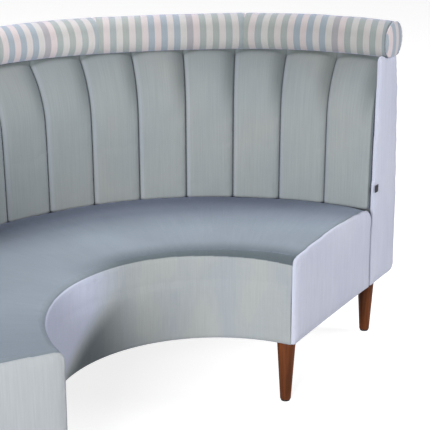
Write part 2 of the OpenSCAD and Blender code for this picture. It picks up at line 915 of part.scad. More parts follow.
module leg_blocks() {
    color(plywood)
        at_legs()
            difference() {
                translate([-leg_block_d / 2, -leg_block_w / 2, rib_z])
                    cube([leg_block_d, leg_block_w, leg_block_h]);
                translate([0, 0, rib_z - overrun])
                    cylinder(h = leg_block_h + 2 * overrun, d = bolt_d + 2 * bolt_gap);
                translate([0, 0, leg_block_top_z]) nut_recess();
            }
}

module leg_bolts() {
    bolt_z = leg_h - leg_bolt_depth;
    color(steel)
        at_legs()
            translate([0, 0, bolt_z])
                cylinder(h = leg_block_top_z + nut_flange_t - bolt_z, d = bolt_d);
}

module leg_nuts() {
    color(steel) at_legs() translate([0, 0, leg_block_top_z]) flanged_nut();
}

module leg_glides() {
    color(black_cloth)
        at_legs() {
            cylinder(h = glide_t, d = glide_d);
            cylinder(h = glide_t + glide_pin_l - fit_gap, d = glide_pin_d);
        }
}

// Plain cloth tag, sewn into the front seam of the right end panel and lying on its face
module side_tag() {
    half_w = half_width_of(back_panel_outline);
    slope = atan(end_panel_crown * crown_height_share / (half_w * crown_reach_share - end_panel_round));
    seam_r = back_front_r
        + end_panel_lean * tag_above_seat / (panel_top_z - end_panel_corner - seat_edge_h);
    color(black_cloth)
        at_right_end()
            translate([seam_r + end_panel_round, seat_edge_h + tag_above_seat, fit_gap])
                rotate([0, -slope, 0])
                    cube([tag_w, tag_h, tag_t]);
}

seat_front_bottom_rail();
seat_back_bottom_rail();
seat_end_boards();
seat_ribs();
seat_joint_rail();
seat_front_skin();
seat_back_skin();
seat_deck();
seat_foam();
seat_cover();
seat_end_panel_left();
seat_end_panel_right();
seat_dust_cover();
back_bottom_rail();
back_joint_rail();
back_top_rail();
back_end_boards();
back_uprights();
back_inner_skin();
back_outer_skin();
back_lining();
back_foam();
back_channels();
outer_back_cover();
back_end_panel_left();
back_end_panel_right();
back_dust_cover();
spacer_batten();
unit_bolts();
unit_nuts();
bolster_board();
bolster_foam();
bolster_cover();
bolster_end_left();
bolster_end_right();
bolster_bolts();
bolster_nuts();
front_leg_left();
front_leg_right();
back_leg_end_left();
back_leg_mid_left();
back_leg_centre();
back_leg_mid_right();
back_leg_end_right();
leg_blocks();
leg_bolts();
leg_nuts();
leg_glides();
side_tag();
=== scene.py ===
import math

import bmesh
import bpy
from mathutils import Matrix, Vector, noise


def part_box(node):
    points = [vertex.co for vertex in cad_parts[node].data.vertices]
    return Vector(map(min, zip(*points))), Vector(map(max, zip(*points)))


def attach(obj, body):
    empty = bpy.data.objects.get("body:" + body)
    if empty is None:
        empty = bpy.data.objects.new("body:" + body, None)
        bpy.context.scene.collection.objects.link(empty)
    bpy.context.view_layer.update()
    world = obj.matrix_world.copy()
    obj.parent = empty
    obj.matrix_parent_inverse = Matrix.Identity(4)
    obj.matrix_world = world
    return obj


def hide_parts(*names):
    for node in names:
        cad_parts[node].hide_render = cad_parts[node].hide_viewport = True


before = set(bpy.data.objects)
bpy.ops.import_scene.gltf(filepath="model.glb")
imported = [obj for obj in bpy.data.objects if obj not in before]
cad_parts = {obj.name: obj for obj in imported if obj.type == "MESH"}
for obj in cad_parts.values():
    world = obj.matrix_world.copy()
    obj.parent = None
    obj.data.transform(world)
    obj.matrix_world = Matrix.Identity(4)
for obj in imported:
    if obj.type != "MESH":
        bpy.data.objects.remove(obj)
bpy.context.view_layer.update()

# Frame of birch plywood: bent rails and skins, flat ribs, uprights, end boards and the deck,
# glued and screwed. Its faces are sanded and show a pale grain with darker bands.
birch_pale = (0.66, 0.50, 0.31)
birch_dark = (0.48, 0.33, 0.18)
plywood_nodes = (
    "seat_front_bottom_rail", "seat_back_bottom_rail", "seat_end_boards", "seat_ribs",
    "seat_joint_rail", "seat_front_skin", "seat_back_skin", "seat_deck", "back_bottom_rail",
    "back_joint_rail", "back_top_rail", "back_end_boards", "back_uprights",
    "back_inner_skin", "back_outer_skin", "spacer_batten", "bolster_board",
)


def new_finish(name):
    finish = bpy.data.materials.new(name)
    finish.use_nodes = True
    return finish, finish.node_tree.nodes, finish.node_tree.links


def add_node(nodes, kind, **settings):
    node = nodes.new(kind)
    for key, value in settings.items():
        setattr(node, key, value)
    return node


def stretched_noise(nodes, links, vector, stretch, detail=3.0, distortion=0.0):
    place = add_node(nodes, "ShaderNodeMapping")
    place.inputs["Scale"].default_value = stretch
    links.new(vector, place.inputs["Vector"])
    cloud = add_node(nodes, "ShaderNodeTexNoise")
    cloud.inputs["Scale"].default_value = 1.0
    cloud.inputs["Detail"].default_value = detail
    cloud.inputs["Distortion"].default_value = distortion
    links.new(place.outputs["Vector"], cloud.inputs["Vector"])
    return cloud.outputs["Fac"]


def two_tones(nodes, links, factor, first, second, low=0.35, high=0.65):
    ramp = add_node(nodes, "ShaderNodeValToRGB")
    ramp.color_ramp.elements[0].position = low
    ramp.color_ramp.elements[0].color = (*first, 1)
    ramp.color_ramp.elements[1].position = high
    ramp.color_ramp.elements[1].color = (*second, 1)
    links.new(factor, ramp.inputs["Fac"])
    return ramp.outputs["Color"]


def raised(nodes, links, height, depth, below=None):
    bump = add_node(nodes, "ShaderNodeBump")
    bump.inputs["Distance"].default_value = depth
    links.new(height, bump.inputs["Height"])
    if below is not None:
        links.new(below, bump.inputs["Normal"])
    return bump.outputs["Normal"]


def wood_finish(name, pale, dark, stretch, roughness, lacquer):
    finish, nodes, links = new_finish(name)
    shader = nodes["Principled BSDF"]
    place = add_node(nodes, "ShaderNodeTexCoord").outputs["Object"]
    bands = stretched_noise(nodes, links, place, stretch, 4.0, 0.6)
    links.new(two_tones(nodes, links, bands, dark, pale), shader.inputs["Base Color"])
    pores = stretched_noise(nodes, links, place, [6 * s for s in stretch], 2.0)
    links.new(raised(nodes, links, pores, 0.0003), shader.inputs["Normal"])
    shader.inputs["Roughness"].default_value = roughness
    shader.inputs["Specular IOR Level"].default_value = 0.25
    shader.inputs["Coat Weight"].default_value = lacquer
    shader.inputs["Coat Roughness"].default_value = 0.3
    return finish


def dress(finish, *names):
    for name in names:
        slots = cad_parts[name].data.materials
        slots.clear()
        slots.append(finish)


dress(wood_finish("birch_plywood", birch_pale, birch_dark, stretch=(14, 14, 50),
                  roughness=0.6, lacquer=0.0),
      *plywood_nodes)

# Blocks of sawn beech that the legs are bolted to, left rough. They are glued and screwed to
# the plywood rails.
beech_pale = (0.56, 0.36, 0.20)
beech_dark = (0.42, 0.25, 0.13)
dress(wood_finish("sawn_beech", beech_pale, beech_dark, stretch=(40, 8, 40),
                  roughness=0.7, lacquer=0.0),
      "leg_blocks")

# Bolts and flanged nuts of zinc-plated steel, with the plating's faint clouding. They join the
# two units, and hold the bolster and the legs.
zinc_dark = (0.38, 0.40, 0.44)
zinc_pale = (0.50, 0.51, 0.54)


def grained_finish(name, first, second, grain, roughness, relief=0.0, detail=3.0, metal=0.0):
    """Two close tones in a fine grain, which stands up by the relief in metres."""
    finish, nodes, links = new_finish(name)
    shader = nodes["Principled BSDF"]
    place = add_node(nodes, "ShaderNodeTexCoord").outputs["Object"]
    cloud = stretched_noise(nodes, links, place, grain, detail)
    links.new(two_tones(nodes, links, cloud, first, second), shader.inputs["Base Color"])
    if relief > 0.0:
        links.new(raised(nodes, links, cloud, relief), shader.inputs["Normal"])
    shader.inputs["Roughness"].default_value = roughness
    shader.inputs["Metallic"].default_value = metal
    return finish


dress(grained_finish("zinc_plating", zinc_dark, zinc_pale, grain=(300, 300, 300),
                     roughness=0.35, metal=1.0),
      "unit_bolts", "unit_nuts", "bolster_bolts", "bolster_nuts", "leg_bolts", "leg_nuts")

# Legs of walnut-stained beech, turned to a straight taper, with the grain up the leg and a
# satin lacquer. They are bolted up into the blocks.
walnut_pale = (0.180, 0.050, 0.013)
walnut_dark = (0.080, 0.022, 0.006)
dress(wood_finish("walnut_stain", walnut_pale, walnut_dark, stretch=(60, 60, 5),
                  roughness=0.45, lacquer=0.06),
      "front_leg_left", "front_leg_right", "back_leg_end_left", "back_leg_mid_left",
      "back_leg_centre", "back_leg_mid_right", "back_leg_end_right")

# Glides of moulded black plastic with a fine matt texture. Each is pressed into the foot of its
# leg on a pin.
glide_dark = (0.010, 0.010, 0.011)
glide_pale = (0.022, 0.022, 0.024)
dress(grained_finish("glide_plastic", glide_dark, glide_pale, grain=(900, 900, 900),
                     roughness=0.55, relief=0.0001),
      "leg_glides")

# Seat cushion: a foam block on the deck under one velvet cover with wadding. The cover runs
# down the front and the back and is stapled under the frame. Its front is a panel of its own,
# so a seam runs along the rounded edge. The seam drops a little towards the two ends.
ring_y = -0.602107
half_angle = math.radians(76.5)
end_cut = 0.0123
seat_front_r = 0.425
seat_back_r = 0.926
seat_cover_t = 0.008
seat_edge = 0.460
seat_crown = 0.011
seat_front_round = 0.022
seat_back_round = 0.034
front_swell = 0.004
under_z = 0.201
rail_z = 0.203
deck_top = 0.372
turn_under = 0.035
front_seam_z = 0.4525
front_seam_fall = 0.014
front_seam_w = 0.0022
front_seam_dip = 0.0014
end_seam_w = 0.005
end_seam_dip = 0.0025
corner_reach = 0.040
corner_sink = 0.006
pucker_w = 0.014
pucker_rise = 0.0009
top_wave = 0.0014
top_wave_size = 0.17
seat_mid_r = 0.7
seat_steps = 180
seat_gather = 0.6
front_hold = 0.25
top_hold = 0.5
seat_pressure = 2.0
seat_reach = 0.0025
settle_quality = 2
settle_frames = 20
velvet_grey = (0.350, 0.372, 0.372)
velvet_blue = (0.318, 0.348, 0.375)
velvet_brushed = (0.226, 0.266, 0.300)
# Colours of painted light (lavender sheen and highlights) and of painted shade, mixed into the
# velvet's tone.
painted_light_tone = (0.56, 0.59, 0.76, 1.0)
pile_turned = (0.36, 0.39, 0.38, 1.0)
velvet_sheen = (0.58, 0.64, 1.0)

# Broad fields of painted light and shade on the seat's velvet, each from no tone to its full
# tone. They run over degrees round the ring from the closed back, over radii, or over distances
# from the front edge. A sloping line parts the painted sheen on the upper left of the concave
# front from the painted shadow on its lower left, and the middle of the front has a light
# painted shade. On the top, painted shade lies along the front edge and on the far left, and
# the back's painted shadow lies along the back.
left_field = (14, -14)
far_left_field = (-35, -65)
front_dark_field = (18, -12)
front_mid_field = (50, 0)
back_field = (0.77, 0.87)
back_field_end = (75, 50)
edge_band = (0.090, 0.010)
left_painted_sheen = 0.72
front_mid_painted_shade = 0.2
edge_painted_shade = 0.85
back_painted_shadow = 0.80
far_left_painted_shade = 0.3
wedge_z = 0.31
wedge_slope = 0.29
wedge_turn = math.radians(8)
wedge_fade = 0.065
lift_below = 0.03
lift_above = 0.04


def ring_point(radius, angle, height):
    """A point at an angle round the bench's upright axis, measured from the closed back."""
    return Vector((radius * math.sin(angle), ring_y + radius * math.cos(angle), height))


def arc(centre, radius, first, last, count):
    return [(centre[0] + radius * math.cos(math.radians(first + (last - first) * i / count)),
             centre[1] + radius * math.sin(math.radians(first + (last - first) * i / count)))
            for i in range(count + 1)]


def straight(start, end, count):
    return [(start[0] + (end[0] - start[0]) * i / count,
             start[1] + (end[1] - start[1]) * i / count) for i in range(count)]


def even(line, count):
    """The line again, with count points at even distances."""
    steps = [0.0]
    for a, b in zip(line, line[1:]):
        steps.append(steps[-1] + math.dist(a, b))
    out = []
    j = 0
    for i in range(count):
        want = steps[-1] * i / (count - 1)
        while j < len(line) - 2 and steps[j + 1] < want:
            j += 1
        share = (want - steps[j]) / (steps[j + 1] - steps[j])
        out.append((line[j][0] + (line[j + 1][0] - line[j][0]) * share,
                    line[j][1] + (line[j + 1][1] - line[j][1]) * share))
    return out


def polar(point):
    return math.hypot(point.x, point.y - ring_y), math.atan2(point.x, point.y - ring_y)


def from_end(point):
    """Distance of a point from the nearer end plane."""
    radius, angle = polar(point)
    return radius * math.sin(half_angle - abs(angle))


def smooth_step(low, high, value):
    """0 at low, 1 at high, also where low is the greater."""
    share = min(1.0, max(0.0, (value - low) / (high - low)))
    return share * share * (3 - 2 * share)


def field_share(degrees, angle):
    """How far an angle lies into a field that fades in between two angles in degrees."""
    return smooth_step(math.radians(degrees[0]), math.radians(degrees[1]), angle)


def bell(distance, width):
    return math.exp(-(distance / width) ** 2)


def soft_wave(point, size):
    return noise.noise(Vector(point) / size)


def swept_ring(outer, inner, steps, cut, closed=False, gather=0.0):
    """A wall between two lines of a section, swept round the ring, ending cut inside its ends.
    The steps lie closer towards the ends as gather grows."""
    form = bmesh.new()
    out_layer = form.verts.layers.float.new("outside")
    along_layer = form.verts.layers.float.new("along")
    rows = []
    for side, line in ((1.0, outer), (0.0, inner)):
        row = []
        for i, (radius, height) in enumerate(line):
            vert = form.verts.new(ring_point(radius, -half_angle, height))
            vert[out_layer] = side
            vert[along_layer] = i / (len(line) - 1)
            row.append(vert)
        rows.append(row)
    count = len(outer)
    for i in range(count if closed else count - 1):
        j = (i + 1) % count
        form.faces.new((rows[0][i], rows[0][j], rows[1][j], rows[1][i]))
    bmesh.ops.spin(form, geom=form.verts[:] + form.edges[:] + form.faces[:],
                   cent=(0, ring_y, 0), axis=(0, 0, 1), angle=-2 * half_angle, steps=steps,
                   use_merge=False, use_duplicate=False)
    for vert in form.verts:
        radius, angle = polar(vert.co)
        turn = angle / half_angle
        turn += gather * math.sin(math.pi * turn) / math.pi
        vert.co = ring_point(radius, turn * (half_angle - math.asin(cut / radius)), vert.co.z)
    bmesh.ops.recalc_face_normals(form, faces=form.faces[:])
    return form, out_layer, along_layer


def make_piece(name, form, finish):
    mesh = bpy.data.meshes.new(name)
    form.to_mesh(mesh)
    form.free()
    mesh.materials.append(finish)
    mesh.polygons.foreach_set("use_smooth", [True] * len(mesh.polygons))
    piece = bpy.data.objects.new(name, mesh)
    bpy.context.scene.collection.objects.link(piece)
    return piece


def settle(piece, held, swell, reach, loose=0.01):
    """Let a sewn cover settle over its filling by cloth simulation. Held gives how firmly each
    point is held, from 0 to 1, and no point moves further than reach."""
    group = piece.vertex_groups.new(name="held")
    for vert in piece.data.vertices:
        group.add([vert.index], held(vert), "REPLACE")
    cover = piece.modifiers.new("cover", "CLOTH")
    cover.settings.quality = settle_quality
    cover.settings.vertex_group_mass = "held"
    cover.settings.use_pressure = True
    cover.settings.uniform_pressure_force = swell
    cover.settings.shrink_min = -loose
    cover.settings.effector_weights.gravity = 0
    cover.collision_settings.use_collision = False
    cover.point_cache.frame_start = 1
    cover.point_cache.frame_end = settle_frames
    for frame_number in range(1, settle_frames + 1):
        bpy.context.scene.frame_set(frame_number)
    settled = piece.evaluated_get(bpy.context.evaluated_depsgraph_get()).to_mesh()
    moves = [after.co - before.co
             for after, before in zip(settled.vertices, piece.data.vertices)]
    for vert, move in zip(piece.data.vertices, moves):
        vert.co += move * reach / (reach + move.length)
    piece.modifiers.remove(cover)
    piece.vertex_groups.remove(group)
    bpy.context.scene.frame_set(1)
    piece.data.update()
    print("SETTLED", piece.name, len(moves), max(move.length for move in moves))


def painted_light_and_shade(nodes, links, tone):
    """The tone, paler with painted light and sheen where the mesh's paler attribute is high, and
    darker with painted shade and shadow where its darker one is. The woven bolster has only the
    painted shade, on its right part."""
    painted_light = add_node(nodes, "ShaderNodeAttribute", attribute_name="painted_light").outputs["Fac"]
    pale = add_node(nodes, "ShaderNodeRGB").outputs["Color"]
    pale.default_value = painted_light_tone
    tone = mixed(nodes, links, painted_light, tone, pale)
    turned = add_node(nodes, "ShaderNodeAttribute", attribute_name="turned").outputs["Fac"]
    darker = add_node(nodes, "ShaderNodeRGB").outputs["Color"]
    darker.default_value = pile_turned
    shade = mixed(nodes, links, 1.0, tone, darker, "MULTIPLY")
    return mixed(nodes, links, turned, tone, shade)


def velvet_finish(name, first, second, pile, brushed=None, sheen=velvet_sheen):
    """Short-pile velvet. The pile's streaks are stretched in the order round the ring, away from
    the axis, and upwards. The brushed tone shows where the mesh says that the pile lies flat."""
    finish, nodes, links = new_finish(name)
    shader = nodes["Principled BSDF"]
    place = add_node(nodes, "ShaderNodeTexCoord").outputs["Object"]
    centre = add_node(nodes, "ShaderNodeVectorMath", operation="SUBTRACT")
    centre.inputs[1].default_value = (0, ring_y, 0)
    links.new(place, centre.inputs[0])
    parts = add_node(nodes, "ShaderNodeSeparateXYZ")
    links.new(centre.outputs["Vector"], parts.inputs[0])
    turn = add_node(nodes, "ShaderNodeMath", operation="ARCTAN2")
    links.new(parts.outputs["X"], turn.inputs[0])
    links.new(parts.outputs["Y"], turn.inputs[1])
    level = add_node(nodes, "ShaderNodeVectorMath", operation="MULTIPLY")
    level.inputs[1].default_value = (1, 1, 0)
    links.new(centre.outputs["Vector"], level.inputs[0])
    away = add_node(nodes, "ShaderNodeVectorMath", operation="LENGTH")
    links.new(level.outputs["Vector"], away.inputs[0])
    cloth = add_node(nodes, "ShaderNodeCombineXYZ")
    links.new(turn.outputs["Value"], cloth.inputs["X"])
    links.new(away.outputs["Value"], cloth.inputs["Y"])
    links.new(parts.outputs["Z"], cloth.inputs["Z"])
    cloth = cloth.outputs["Vector"]
    patches = stretched_noise(nodes, links, cloth, (4.0, 4.5, 3.5), 3.0, 0.4)
    tone = two_tones(nodes, links, patches, first, second, 0.38, 0.62)
    if brushed is not None:
        lies = add_node(nodes, "ShaderNodeAttribute", attribute_name="brushed").outputs["Fac"]
        laid = two_tones(nodes, links, patches, brushed, [0.92 * part for part in brushed])
        tone = mixed(nodes, links, lies, tone, laid)
    tone = painted_light_and_shade(nodes, links, tone)
    streaks = stretched_noise(nodes, links, cloth, pile, 4.0)
    shades = two_tones(nodes, links, streaks, (0.95, 0.95, 0.95), (1.04, 1.04, 1.04), 0.3, 0.7)
    tone = mixed(nodes, links, 1.0, tone, shades, "MULTIPLY")
    links.new(tone, shader.inputs["Base Color"])
    fibres = stretched_noise(nodes, links, place, (2600, 2600, 2600), 2.0)
    nap = raised(nodes, links, streaks, 0.0004)
    links.new(raised(nodes, links, fibres, 0.0002, nap), shader.inputs["Normal"])
    shader.inputs["Roughness"].default_value = 0.9
    shader.inputs["Specular IOR Level"].default_value = 0.2
    shader.inputs["Sheen Weight"].default_value = 0.35
    shader.inputs["Sheen Roughness"].default_value = 0.35
    shader.inputs["Sheen Tint"].default_value = sheen + (1.0,)
    return finish


def mixed(nodes, links, factor, first, second, way="MIX"):
    mix = add_node(nodes, "ShaderNodeMix", data_type="RGBA", blend_type=way)
    if isinstance(factor, float):
        mix.inputs["Factor"].default_value = factor
    else:
        links.new(factor, mix.inputs["Factor"])
    links.new(first, mix.inputs["A"])
    links.new(second, mix.inputs["B"])
    return mix.outputs["Result"]


front_mid = (seat_front_r + seat_front_round, seat_edge - seat_front_round)
back_mid = (seat_back_r - seat_back_round, seat_edge - seat_back_round)


def crowned_top(count, last):
    """The crowned top of the seat's section, from its front round towards its back round."""
    return [(front_mid[0] + (back_mid[0] - front_mid[0]) * i / count,
             seat_edge + seat_crown * math.sin(math.pi * i / count)) for i in range(1, last)]


seat_outer = (
    [(seat_front_r + turn_under, under_z), (seat_front_r + 0.003, under_z)]
    + straight((seat_front_r, under_z + 0.003), (seat_front_r, front_mid[1] - 0.014), 22)
    + straight((seat_front_r, front_mid[1] - 0.014), (seat_front_r, front_mid[1]), 8)
    + arc(front_mid, seat_front_round, 180, 90, 24)
    + crowned_top(44, 44)
    + arc(back_mid, seat_back_round, 90, 0, 10)
    + straight((seat_back_r, back_mid[1] - 0.02), (seat_back_r, under_z + 0.003), 6)
    + [(seat_back_r, under_z + 0.003), (seat_back_r - 0.003, under_z)]
    + [(seat_back_r - turn_under, under_z)]
)
seat_inner = even(
    [(seat_front_r + turn_under, rail_z), (seat_front_r + seat_cover_t, rail_z)]
    + [(seat_front_r + seat_cover_t, deck_top), (seat_back_r - seat_cover_t, deck_top)]
    + [(seat_back_r - seat_cover_t, rail_z), (seat_back_r - turn_under, rail_z)],
    len(seat_outer))
seat_form, seat_out, _ = swept_ring(seat_outer, seat_inner, seat_steps, end_cut,
                                    gather=seat_gather)
seat_brushed = seat_form.verts.layers.float.new("brushed")
seat_turned = seat_form.verts.layers.float.new("turned")
seat_painted_sheen = seat_form.verts.layers.float.new("painted_light")
seat_held = seat_form.verts.layers.float.new("held")
front_face_h = front_mid[1] - under_z
for vert in seat_form.verts:
    radius, angle = polar(vert.co)
    vert[seat_held] = 1.0
    if vert[seat_out] < 0.5:
        continue
    height = vert.co.z
    end = from_end(vert.co) - end_cut
    seam = front_seam_z - front_seam_fall * (angle / half_angle) ** 2
    on_top = height > deck_top and radius > seat_front_r + 0.001
    near_front = radius < front_mid[0] and height > deck_top
    left = field_share(left_field, angle)
    far_left = field_share(far_left_field, angle)
    # Front face: painted sheen on the upper left, painted shadow in the lower left, light painted
    # shade in the middle.
    if radius < front_mid[0] and height < seam:
        line = wedge_z + wedge_slope * (angle + wedge_turn)
        dark = field_share(front_dark_field, angle)
        vert[seat_painted_sheen] = left_painted_sheen * left * smooth_step(line - lift_below, line + lift_above,
                                                           height)
        vert[seat_turned] = (dark * smooth_step(line, line - wedge_fade, height)
                             + front_mid_painted_shade * field_share(front_mid_field, angle) * (1 - dark))
    # Top: painted shade along the front edge and on the far left, and the back's painted shadow
    # along the back.
    elif height > deck_top:
        front = smooth_step(*edge_band, radius - seat_front_r) * (1 - left)
        back = smooth_step(*back_field, radius) * field_share(back_field_end, angle)
        vert[seat_turned] = max(edge_painted_shade * front, back_painted_shadow * back, far_left_painted_shade * far_left)
    rise = max(0.0, height - front_mid[1])
    lean = math.asin(min(1.0, rise / seat_front_round)) if near_front else 0.0
    dip = end_seam_dip * bell(end, end_seam_w)
    if near_front:
        dip += front_seam_dip * bell((height - seam) / math.cos(lean), front_seam_w)
        vert[seat_brushed] = smooth_step(-0.0015, 0.0015, height - seam)
        vert[seat_held] = max(front_hold, bell((height - seam) / math.cos(lean), 0.004))
    elif height > deck_top:
        vert[seat_brushed] = 1.0
        vert[seat_held] = top_hold
    elif radius < front_mid[0] and height > under_z + 0.006:
        share = (height - under_z) / front_face_h
        radius -= front_swell * math.sin(math.pi * share)
        vert[seat_held] = front_hold
    if height > deck_top and radius > seat_mid_r:
        height -= corner_sink * bell(end, corner_reach) * smooth_step(0.80, 0.92, radius)
    if on_top:
        pucker = soft_wave((radius, angle, 2.0), pucker_w) * bell(end - 0.006, pucker_w)
        height += pucker_rise * pucker + top_wave * soft_wave(vert.co, top_wave_size)
        height -= dip * math.sin(max(lean, 0.0 if near_front else 1.5))
    if near_front or height <= deck_top:
        radius += dip * math.cos(lean) * (1 if radius < seat_mid_r else -1)
    if end < 0.004:
        vert[seat_held] = 1.0
    vert.co = ring_point(radius, angle, height)
velvet = velvet_finish("velvet", velvet_grey, velvet_blue, (260, 10, 10), velvet_brushed)
seat_cushion = make_piece("seat_cushion", seat_form, velvet)
seat_firm = [item.value for item in seat_cushion.data.attributes["held"].data]
settle(seat_cushion, lambda vert: seat_firm[vert.index], seat_pressure, seat_reach)
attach(seat_cushion, "root")
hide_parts("seat_cover", "seat_foam")

# Padded panels on the two ends of the seat: boards with foam and velvet, sewn to the cushion's
# cover along their edges. The foam draws the velvet round over the edges.
ends = ((-1, "left"), (1, "right"))
panel_t = 0.012
panel_net = 0.005
panel_rings = ((0.0, -0.0042), (0.0007, -0.0020), (0.0020, -0.0006), (0.0042, 0.0001),
               (0.010, 0.0006), (0.022, 0.0012), (0.042, 0.0018), (0.066, 0.0022),
               (0.074, 0.0022))
panel_corner_r = 0.046
pad_pressure = 4.0
pad_reach = 0.0028
pad_loose = 0.008
# The right pads' velvet is a paler, more lavender copy of the left pads' velvet: painted light and
# sheen on the right ends.
left_end_tones = ((0.375, 0.395, 0.410), (0.355, 0.378, 0.400))
right_end_tones_painted_light = ((0.545, 0.565, 0.670), (0.515, 0.540, 0.655))
right_end_sheen = (0.80, 0.82, 1.0)
end_pile = (10, 240, 10)
end_velvets = {
    -1: velvet_finish("velvet_left_end", *left_end_tones, end_pile),
    1: velvet_finish("velvet_right_end_painted_light", *right_end_tones_painted_light, end_pile, sheen=right_end_sheen),
}


def end_pad(name, outline, side):
    """A padded panel on an end plane, from its outline as radius and height."""
    form = bmesh.new()
    top = form.faces.new([form.verts.new((radius, height, -panel_t)) for radius, height in outline])
    low = Vector(map(min, *(vert.co for vert in top.verts)))
    high = Vector(map(max, *(vert.co for vert in top.verts)))
    middle = (low + high) / 2
    half = (high - low) / 2
    drawn = 0.0
    base = top
    for inset, height in panel_rings:
        grown = bmesh.ops.extrude_face_region(form, geom=[top])
        if top.is_valid and top is not base:
            form.faces.remove(top)
        top = [item for item in grown["geom"] if isinstance(item, bmesh.types.BMFace)][0]
        for vert in top.verts:
            vert.co.x = middle.x + (vert.co.x - middle.x) * (half.x - inset) / (half.x - drawn)
            vert.co.y = middle.y + (vert.co.y - middle.y) * (half.y - inset) / (half.y - drawn)
            vert.co.z = height
        drawn = inset
    bmesh.ops.poke(form, faces=[top])
    bmesh.ops.recalc_face_normals(form, faces=form.faces[:])
    pad = make_piece(name, form, end_velvets[side])
    net = pad.modifiers.new("net", "REMESH")
    net.mode = "VOXEL"
    net.voxel_size = panel_net
    net.use_smooth_shade = True
    netted = bpy.data.meshes.new_from_object(
        pad.evaluated_get(bpy.context.evaluated_depsgraph_get()))
    pad.modifiers.remove(net)
    pad.data = netted
    netted.name = name
    settle(pad, lambda vert: smooth_step(-0.0010, -0.0045, vert.co.z), pad_pressure, pad_reach,
           pad_loose)
    for vert in pad.data.vertices:
        radius, height, out = vert.co
        vert.co = (side * (radius * math.sin(half_angle) + out * math.cos(half_angle)),
                   ring_y + radius * math.cos(half_angle) - out * math.sin(half_angle), height)
    if side < 0:
        pad.data.flip_normals()
    pad.data.update()
    finer = pad.modifiers.new("finer", "SUBSURF")
    finer.levels = 1
    finer.render_levels = 1
    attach(pad, "root")
    return pad


seat_panel_line = (
    straight((seat_front_r, under_z), (seat_front_r, front_mid[1]), 20)
    + arc(front_mid, seat_front_round, 180, 90, 8)
    + crowned_top(24, 23)
    + arc((seat_back_r - panel_corner_r, seat_edge - panel_corner_r), panel_corner_r, 90, 0, 10)
    + straight((seat_back_r, seat_edge - panel_corner_r), (seat_back_r, under_z), 18)[1:]
    + straight((seat_back_r, under_z), (seat_front_r, under_z), 40)
)
for side, side_name in ends:
    seat_pad = end_pad("seat_end_pad_" + side_name, seat_panel_line, side)
    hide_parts("seat_end_panel_" + side_name)

# Dust cover of the seat: black cambric, cut as a half ring and stapled over the underside.
dust_z = 0.200
dust_t = 0.001
dust_margin = 0.010
sheet_points = 24
sheet_steps = 120
cambric_dark = (0.012, 0.012, 0.014)
cambric_pale = (0.030, 0.030, 0.033)
cambric = grained_finish("black_cambric", cambric_dark, cambric_pale, grain=(700, 700, 700),
                         roughness=0.9, relief=0.0002, detail=4.0)


def stretched_sheet(name, outer, inner, cut, finish):
    """A thin sheet between two lines of a section, swept round the ring."""
    form, _, _ = swept_ring(even(outer, sheet_points), even(inner, sheet_points), sheet_steps, cut)
    sheet = make_piece(name, form, finish)
    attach(sheet, "root")
    return sheet


def flat_lines(front_r, back_r, low, thick):
    return [(front_r, low), (back_r, low)], [(front_r, low + thick), (back_r, low + thick)]


seat_dust_front = seat_front_r + dust_margin
seat_dust_back = seat_back_r - dust_margin
seat_dust = stretched_sheet("seat_dust_sheet",
                            *flat_lines(seat_dust_front, seat_dust_back, dust_z, dust_t),
                            panel_t + dust_margin, cambric)
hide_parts("seat_dust_cover")

# Lining: plain grey cloth over the front of the back unit, hidden behind the seat. It is
# stapled to the bent skin and turned under the frame.
lining_r = 0.947
lining_t = 0.002
lining_top = 0.456
lining_dark = (0.18, 0.20, 0.21)
lining_pale = (0.23, 0.25, 0.26)
lining_cloth = grained_finish("grey_lining", lining_dark, lining_pale, grain=(900, 900, 1400),
                              roughness=0.85, relief=0.0003, detail=2.0)
lining = stretched_sheet(
    "back_lining_sheet",
    [(lining_r + turn_under, under_z), (lining_r, under_z), (lining_r, lining_top)],
    [(lining_r + turn_under, rail_z), (lining_r + lining_t, rail_z),
     (lining_r + lining_t, lining_top)],
    end_cut, lining_cloth)
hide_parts("back_lining")

# Fluted back: seventeen channels sewn into one velvet cover over foam. The grooves run up the
# back, turn over towards the bolster and go down under it. The channels are flat and crisp low
# down, and rounder and fuller where they turn over.
channel_count = 17
channel_proud = 0.014
channel_low = 0.4563
groove_r = 0.922
groove_top_r = 0.929
turn_over_r = 0.200
turn_z = 0.7168
tuck = 59.8
foam_back = 0.020
top_rail_r = 1.0337
turn_r = groove_top_r + turn_over_r
channel_steps = 24
groove_cut = 0.0030
top_fill = 0.0035
channel_skew = math.radians(0.42)
channel_wave = 0.0008
tucked = 0.965
tuck_fade = 0.025
section_points = 58
back_pressure = 3.0
back_reach = 0.0025
# Painted light and shade on the channels: a painted highlight along the left edge of each channel,
# painted shade on the upper right flanks and on the channels at the left, and painted shadow in the
# grooves and under the bolster.
rim_painted_highlight = 0.16
flank_painted_shade = 0.5
flank_field = (-5, 20)
left_painted_shade = 0.16
left_back_field = (8, -25)
groove_painted_shadow = 0.9
under_bolster_painted_shadow = 0.8
back_tones = ((0.318, 0.340, 0.338), (0.288, 0.320, 0.332))
back_front = (straight((groove_r, channel_low), (groove_top_r, turn_z), 30)
              + arc((turn_r, turn_z), turn_over_r, 180, 180 - tuck, 40))
rear_turn = math.degrees(math.acos((turn_r - top_rail_r + 0.0003) / (turn_over_r - foam_back)))
back_rear = (straight((groove_top_r + foam_back, channel_low),
                      (groove_top_r + foam_back, turn_z), 30)
             + arc((turn_r, turn_z), turn_over_r - foam_back, 180, 180 - rear_turn, 40))
back_front = even(back_front, section_points)
back_rear = even(back_rear, section_points)
back_form, back_out, back_along = swept_ring(back_front, back_rear,
                                             channel_count * channel_steps, end_cut)
back_held = back_form.verts.layers.float.new("held")
back_turned = back_form.verts.layers.float.new("turned")
back_painted_highlight = back_form.verts.layers.float.new("painted_light")
